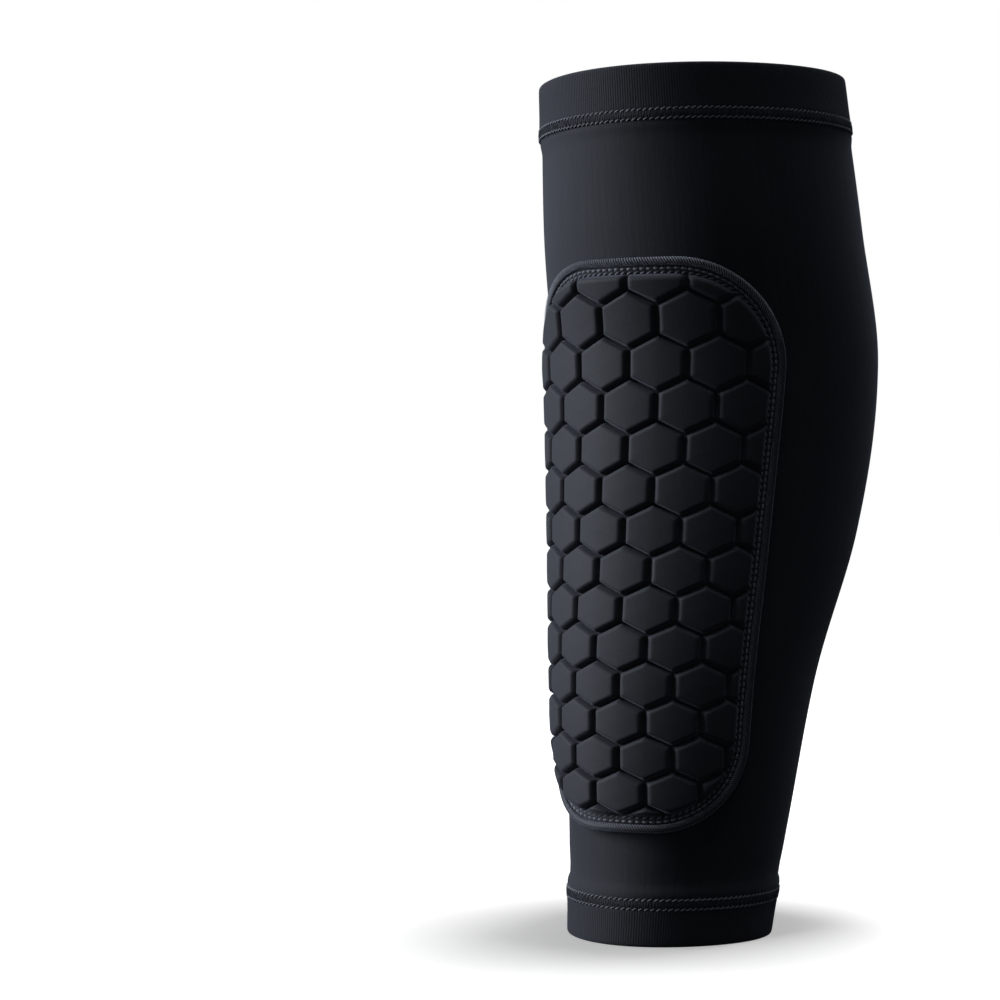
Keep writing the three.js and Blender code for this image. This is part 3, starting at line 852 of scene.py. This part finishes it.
FOAM_UNDER, FOAM_WEB = 1.7 * MM, 2.6 * MM
FOAM_RISE = 3.3 * MM
FOAM_INSET = LAMINATE_INSET + 0.3 * MM
FOAM_GROOVE_HALF, FOAM_SHOULDER = 1.0 * MM, 1.6 * MM
FIELD_INSET = 6.3 * MM
FOAM_FIELD_INSET = FIELD_INSET + 1.2 * MM
BORDER_SLOPE = 2.6 * MM
FOAM_CELL_POWER, FOAM_BORDER_POWER = 2.2, 2


def pillow(distance, width, power):
    """A shoulder from 0 at the groove to 1 on the flat top: the quarter of a superellipse."""
    x = np.clip(distance / width, 0, 1)
    return (1 - (1 - x) ** power) ** (1 / power)


def foam_top(column, row, inset):
    """The foam's face: the web, plus each cell's shoulder times the slope up from the border."""
    cell = pillow(cell_depth(column, row) - FOAM_GROOVE_HALF, FOAM_SHOULDER, FOAM_CELL_POWER)
    border = pillow(inset - FOAM_FIELD_INSET, BORDER_SLOPE, FOAM_BORDER_POWER)
    return FOAM_WEB + FOAM_RISE * cell * border


def cellular(start, u, v, place):
    """The fine open bubbles of a foam skin."""
    return start.node("TexVoronoi", {}, {"Vector": place, "Scale": 2200.0})


foam_finish = cloth_finish("charcoal_foam", (0.035, 0.036, 0.04), cellular, 0.08 * MM, rough=0.9, sheen=0.0)

points, faces, flat_map = pad_layer(FOAM_STEPS, FOAM_INSET, foam_top, flat_face(FOAM_UNDER))
foam_core = make_piece("foam_core", points, faces, foam_finish, ["pad_foam_core"], "foam", flat_map)


# ---- Pad cover ----
# Smooth stretch cloth pressed hot over the foam, so that it follows every cell: flat tops, rounded
# shoulders and narrow grooves. Cells cut by the edge slope down to the sewn border.

COVER_CLOTH = 0.55 * MM
COVER_WEB = 3.6 * MM
COVER_RISE = 3.55 * MM
GROOVE_HALF = 0.48 * MM
SHOULDER = 1.75 * MM
CELL_POWER, BORDER_POWER = 2.5, 2.1
CROWN, CROWN_REACH, CROWN_POWER = 0.22 * MM, 8 * MM, 0.8
GROOVE_FLOOR = 0.25 * MM
STITCH_INSETS = {"outer": 4.15 * MM, "inner": 5.65 * MM}
PULL_DEEP, PULL_NARROW = 0.3 * MM, 0.38 * MM
BORDER_GROOVE = 3.2 * MM
BORDER_GROOVE_DEEP, BORDER_GROOVE_WIDE = 0.45 * MM, 0.35 * MM


def cover_top(column, row, inset):
    """The cover's face: the web, plus each cell's shoulder and slight crown times the slope up from the
    border, less a groove beside the rolled edge and the pull of the two stitch rows."""
    depth = cell_depth(column, row)
    cell = pillow(depth - GROOVE_HALF, SHOULDER, CELL_POWER)
    border = pillow(inset - FIELD_INSET, BORDER_SLOPE, BORDER_POWER)
    crown = CROWN * np.clip(depth / CROWN_REACH, 0, 1) ** CROWN_POWER
    pulled = PULL_DEEP * sum(bell(inset, stitch, PULL_NARROW) for stitch in STITCH_INSETS.values())
    beside_roll = BORDER_GROOVE_DEEP * bell(inset, BORDER_GROOVE, BORDER_GROOVE_WIDE)
    lift = (COVER_RISE + crown) * cell * border
    return COVER_WEB + lift + GROOVE_FLOOR * border - pulled - beside_roll


def cover_under(column, row, inset):
    """The cover's back, a cloth's thickness under its face."""
    return cover_top(column, row, inset) - COVER_CLOTH


def lycra(start, u, v, place):
    """Very fine warp knit: hardly visible columns with the cloth's own faint slub."""
    slub = start.node("TexNoise", {}, {"Vector": place, "Scale": 420.0, "Detail": 2.0})
    return wave(u, 0.42 * MM) * 0.25 + slub * 0.6


COVER_COLOUR = (0.0225, 0.0235, 0.029)
cover_finish = cloth_finish(
    "black_pad_cover", COVER_COLOUR, lycra, 0.05 * MM, rough=0.68, sheen=0.3, lint=0.22, fuzz=0.5, mottle=0.1
)

points, faces, flat_map = pad_layer(COVER_STEPS, LAMINATE_INSET, cover_top, cover_under)
pad_cover = make_piece(
    "pad_cover", points, faces, cover_finish, ["pad_cover_cloth"], "pad_cover", flat_map
)


# ---- Pad edge roll ----
# A folded stretch tape wraps the pad's cut edge and holds the laminate to the sleeve. It makes a round
# raised rim all the way round.

ROLL_WIDE, ROLL_HIGH = 3.0 * MM, 4.7 * MM
ROLL_FOOT, ROLL_HEEL = 0.35 * MM, 3.2 * MM
ROLL_SIDE_POWER, ROLL_TOP_POWER = 0.85, 0.75
ROLL_STATIONS, ROLL_ROWS = 900, 15
CORNER_STEPS = 60


def pad_edge(count, inset=0.0):
    """Points at even steps along the pad's outline, as across and up, from the middle of its foot round
    to the right: a corner arc, the leaning side, the upper arc, and the same mirrored."""

    def arc(middle, radius, first, last):
        """A corner's arc from one angle to another, an inset inside its radius."""
        turn = np.linspace(first, last, CORNER_STEPS)
        return middle + (radius - inset) * np.stack([np.cos(turn), np.sin(turn)], 1)

    right = np.concatenate([
        [[0, PAD_LOW + inset]],
        arc(LOW_CORNER, LOW_RADIUS, -math.pi / 2, SIDE_LEAN),
        arc(HIGH_CORNER, HIGH_RADIUS, SIDE_LEAN, math.pi / 2),
        [[0, PAD_HIGH - inset]],
    ])
    loop = np.concatenate([right, right[::-1] * [-1, 1]])
    way = np.concatenate([[0], np.cumsum(np.linalg.norm(np.diff(loop, axis=0), axis=1))])
    at = np.arange(count) / count * way[-1]
    return np.stack([np.interp(at, way, loop[:, 0]), np.interp(at, way, loop[:, 1])], 1)


def inward_from(edge):
    """The way in from each point of a closed loop that runs counter-clockwise."""
    along = np.roll(edge, -1, 0) - np.roll(edge, 1, 0)
    along /= np.linalg.norm(along, axis=1, keepdims=True)
    return np.stack([-along[:, 1], along[:, 0]], 1)


def roll_profile(turn):
    """Inset and distance out on the roll: a round hump, from its foot on the sleeve at turn 0, over the
    top, to its heel on the cover at turn pi."""
    inset = ROLL_WIDE / 2 * (1 - np.sign(np.cos(turn)) * np.abs(np.cos(turn)) ** ROLL_SIDE_POWER)
    base = np.where(turn < math.pi / 2, ROLL_FOOT, ROLL_HEEL)
    return inset, base + (ROLL_HIGH - base) * np.abs(np.sin(turn)) ** ROLL_TOP_POWER


def tape(start, u, v, place):
    """Close woven tape: fine cords along its length."""
    return wave(u, 0.55 * MM) * 0.5 + wave(v, 0.5 * MM) * 0.5


TAPE_COLOUR = (0.024, 0.025, 0.031)
roll_finish = cloth_finish("black_edge_tape", TAPE_COLOUR, tape, 0.03 * MM, rough=0.62, sheen=0.45)

fine_edge = pad_edge(2000)
PAD_EDGE_LENGTH = np.linalg.norm(fine_edge - np.roll(fine_edge, 1, 0), axis=1).sum()
roll_edge = pad_edge(ROLL_STATIONS)
roll_in = inward_from(roll_edge)
roll_inset, roll_out = roll_profile(np.linspace(0, math.pi, ROLL_ROWS))
under_inset = ROLL_WIDE * np.array([0.8, 0.45, 0.2])
under_out = [ROLL_HEEL - 0.2 * MM, ROLL_FOOT + 1.2 * MM, ROLL_FOOT]
roll_inset = np.concatenate([roll_inset, under_inset])
roll_out = np.concatenate([roll_out, under_out])
roll_flat = roll_edge[None] + roll_in[None] * roll_inset[:, None, None]
roll_points = on_pad(roll_flat[..., 0], roll_flat[..., 1], roll_out[:, None])
roll_faces, roll_row, roll_column = grid_faces(len(roll_inset), ROLL_STATIONS, True, True)
roll_map = np.stack([roll_row * 0.45 * MM, roll_column / ROLL_STATIONS * PAD_EDGE_LENGTH], -1)
make_piece(
    "pad_edge_roll", roll_points, [roll_faces], roll_finish, ["pad_edge_binding"], "binding", [roll_map]
)


# ---- Pad stitching ----
# The rim is overlocked: fine threads are whipped over it at a slant, standing proud along the top and
# pulled into the tape down the sides. Inside it, two rows of chain stitch sew the border down.

WHIP_PITCH = 0.95 * MM
WHIP_YARN = 0.24 * MM
WHIP_SLANT = 2.7 * MM
WHIP_SUNK, WHIP_PROUD_ON_TOP = 0.2 * MM, 0.42 * MM
WHIP_FROM, WHIP_STATIONS = 0.3, 9  # the angle round the roll that each whip starts at
CHAIN_PITCH = 2.4 * MM
CHAIN_SHARE = 0.6
CHAIN_ARCH, CHAIN_DIVE = 0.34 * MM, 0.7 * MM
CHAIN_SUNK, CHAIN_PROUD_ON_TOP = 0.5 * MM, 0.24 * MM
CHAIN_YARN = {"outer": 0.44 * MM, "inner": 0.308 * MM}
CHAIN_SWAY = {"outer": 0.0, "inner": 0.7 * MM}
TOP_FROM, TOP_BLEND = HIGH_CORNER[1] + 8 * MM, 14 * MM
EDGE_STEPS = 8000

PAD_THREAD_COLOUR = (0.17, 0.175, 0.195)
pad_thread_finish = cloth_finish("pad_thread", PAD_THREAD_COLOUR, yarn, 0.03 * MM, rough=0.5, sheen=0.6)


def on_the_top(z):
    """0 down the pad's sides and round its foot, rising to 1 along its top."""
    return np.clip((z - TOP_FROM) / TOP_BLEND, 0, 1)


def read_round(values, at):
    """Pairs of values listed round a loop, read between their places."""
    places = np.arange(len(values))
    return np.stack([np.interp(at, places, values[:, k], period=len(values)) for k in (0, 1)], -1)


def pad_thread(flat, out, radius, sides, closed):
    """Threads along paths [thread, station, across and up] on the pad."""
    across, z = flat[..., 0], flat[..., 1]
    return tubes(on_pad(across, z, out), leg_normal(angle_across(across, z), z), radius, sides, closed)


whips = round(PAD_EDGE_LENGTH / WHIP_PITCH)
whip_inset, whip_out = roll_profile(np.linspace(WHIP_FROM, math.pi, WHIP_STATIONS))
slant = np.linspace(0.5, -0.5, WHIP_STATIONS) * WHIP_SLANT / PAD_EDGE_LENGTH
whip_at = ((np.arange(whips) / whips)[:, None] + slant) % 1 * EDGE_STEPS
fine_edge = pad_edge(EDGE_STEPS)
whip_base = read_round(fine_edge, whip_at)
whip_flat = whip_base + read_round(inward_from(fine_edge), whip_at) * whip_inset[:, None]
proud = WHIP_PROUD_ON_TOP * on_the_top(whip_base[..., 1]) - WHIP_SUNK
overlock = pad_thread(whip_flat, whip_out + proud, WHIP_YARN, 5, False)
make_piece("pad_overlock", *overlock, pad_thread_finish, ["pad_overlock_thread"], "pad_thread")

for row, inset in STITCH_INSETS.items():
    stitches = round((PAD_EDGE_LENGTH - 2 * math.pi * inset) / CHAIN_PITCH)
    edge = pad_edge(stitches * STEPS_PER_STITCH, inset)
    phase = np.arange(stitches * STEPS_PER_STITCH) / STEPS_PER_STITCH % 1
    on_top = phase < CHAIN_SHARE
    arch = CHAIN_ARCH * np.sin(math.pi * phase / CHAIN_SHARE)
    dive = -CHAIN_DIVE * np.sin(math.pi * (phase - CHAIN_SHARE) / (1 - CHAIN_SHARE))
    face = COVER_WEB - CHAIN_SUNK + CHAIN_PROUD_ON_TOP * on_the_top(edge[:, 1])
    lean = np.where(on_top, phase / CHAIN_SHARE, (1 - phase) / (1 - CHAIN_SHARE)) - 0.5
    flat = edge + inward_from(edge) * (lean * CHAIN_SWAY[row])[:, None]
    chain = pad_thread(flat[None], face + np.where(on_top, arch, dive), CHAIN_YARN[row], 6, True)
    make_piece(f"pad_{row}_stitches", *chain, pad_thread_finish, [f"pad_stitch_{row}"], "pad_thread")


# ---- Studio ----
# A white floor that runs out into a white surround. One big soft light stands at the left and another
# hangs overhead, with weak ones at the right and low in front. The floor is lit by a small light of its
# own from above, which gives it the sleeve's soft shadow.

FLOOR_REACH, SURROUND_REACH = 12, 30
FLOOR_SUNK = 0.05 * MM
ROUND_STEPS, SURROUND_LEVELS = 64, 15
GLOW_FROM, GLOW_TO = 0.15, 0.8
LAMP_COLOUR = (0.86, 0.92, 1.0)
WORLD_COLOUR = (0.9, 0.95, 1.0, 1)
WORLD_GLOW = 0.022

scene.view_settings.view_transform = "Standard"


def glowing(name, near, far, white):
    """A plain surface that also shines a little by itself: by near at the sleeve, so that the sleeve's own
    soft shadow shows on it, and by far out where the lights don't reach."""
    material, start = blank_finish(name)
    place = start.node("TexCoord", {}, {}, "Object")
    way_off = start.node("VectorMath", {"operation": "LENGTH"}, {0: place}, "Value")
    reach = {0: way_off, 1: GLOW_FROM, 2: GLOW_TO, 3: 0.0, 4: 1.0}
    share = start.node("MapRange", {"clamp": True}, reach)
    glow = mixed(start, share, (near, near, near, 1), (far, far, far, 1))
    return finished(material, start, {
        "Base Color": (white, white, white, 1),
        "Roughness": 1.0,
        "Specular IOR Level": 0.0,
        "Emission Color": glow,
        "Emission Strength": 1.0,
    })


def stage_piece(name, points, faces, material):
    """A surface of the studio and no part of the sleeve. Its glow lights nothing and mirrors in nothing."""
    mesh = bpy.data.meshes.new(name)
    mesh.from_pydata(points.tolist(), [], faces)
    mesh.materials.append(material)
    piece = bpy.data.objects.new(name, mesh)
    scene.collection.objects.link(piece)
    piece.visible_diffuse = False
    piece.visible_glossy = False
    return piece


turn = np.linspace(0, 2 * math.pi, ROUND_STEPS + 1)[:-1]
circle = np.stack([np.cos(turn), np.sin(turn), np.zeros(ROUND_STEPS)], 1)
floor_points = FLOOR_REACH * circle - [0, 0, FLOOR_SUNK]
floor = stage_piece("floor", floor_points, [list(range(ROUND_STEPS))], glowing("white_floor", 0.46, 1.0, 0.9))

tilt = np.linspace(-math.pi / 2, math.pi / 2, SURROUND_LEVELS + 2)[1:-1, None, None]
surround = SURROUND_REACH * (np.cos(tilt) * circle + np.sin(tilt) * [0, 0, 1])
sides, _, _ = grid_faces(SURROUND_LEVELS, ROUND_STEPS, False, True)
corners = np.arange(SURROUND_LEVELS * ROUND_STEPS).reshape(SURROUND_LEVELS, ROUND_STEPS)
backdrop = stage_piece(
    "backdrop",
    surround.reshape(-1, 3),
    sides.tolist() + corners[[0, -1]].tolist(),
    glowing("white_surround", 1.0, 1.0, 0.0),
)
backdrop.visible_shadow = False
backdrop.visible_transmission = False

world = bpy.data.worlds.new("studio")
world.use_nodes = True
world.node_tree.nodes["Background"].inputs["Color"].default_value = WORLD_COLOUR
world.node_tree.nodes["Background"].inputs["Strength"].default_value = WORLD_GLOW
scene.world = world


def soft_light(name, offset, size, watts, aim_high):
    """A rectangular light at an offset in the camera's own directions (right, away, up), facing a height
    on the sleeve."""
    light = bpy.data.lights.new(name, "AREA")
    light.shape = "RECTANGLE"
    light.size, light.size_y = size
    light.energy = watts
    lamp = bpy.data.objects.new(name, light)
    right, away, up = offset
    place = right * to_right + away * into_view + np.array([0, LEG_LINE, up])
    lamp.location = place
    aim = np.array([0, LEG_LINE, aim_high]) - place
    lamp.rotation_euler = (
        math.atan2(math.hypot(aim[0], aim[1]), -aim[2]),
        0,
        math.atan2(aim[1], aim[0]) - math.pi / 2,
    )
    scene.collection.objects.link(lamp)
    return lamp


sleeve_lamps = [
    soft_light("key_light", (-1.4, 0.05, 0.62), (0.8, 1.1), 28, 0.17),
    soft_light("top_light", (0, 0, 1.6), (1.3, 1.3), 10, 0.1),
    soft_light("edge_light", (1.3, 0.9, 0.5), (0.4, 1.1), 0.2, 0.17),
    soft_light("fill_light", (-0.2, -1.2, 0.08), (0.9, 0.4), 0.7, 0.05),
]
floor_light = soft_light("floor_light", (0.12, 0.13, 1.6), (0.36, 0.36), 22, 0.0)

only_floor = bpy.data.collections.new("only_the_floor")
only_floor.objects.link(floor)
floor_light.light_linking.receiver_collection = only_floor
all_but_floor = bpy.data.collections.new("all_but_the_floor")
all_but_floor.objects.link(floor)
all_but_floor.collection_objects[0].light_linking.link_state = "EXCLUDE"
for lamp in sleeve_lamps:
    lamp.data.color = LAMP_COLOUR
    lamp.light_linking.receiver_collection = all_but_floor
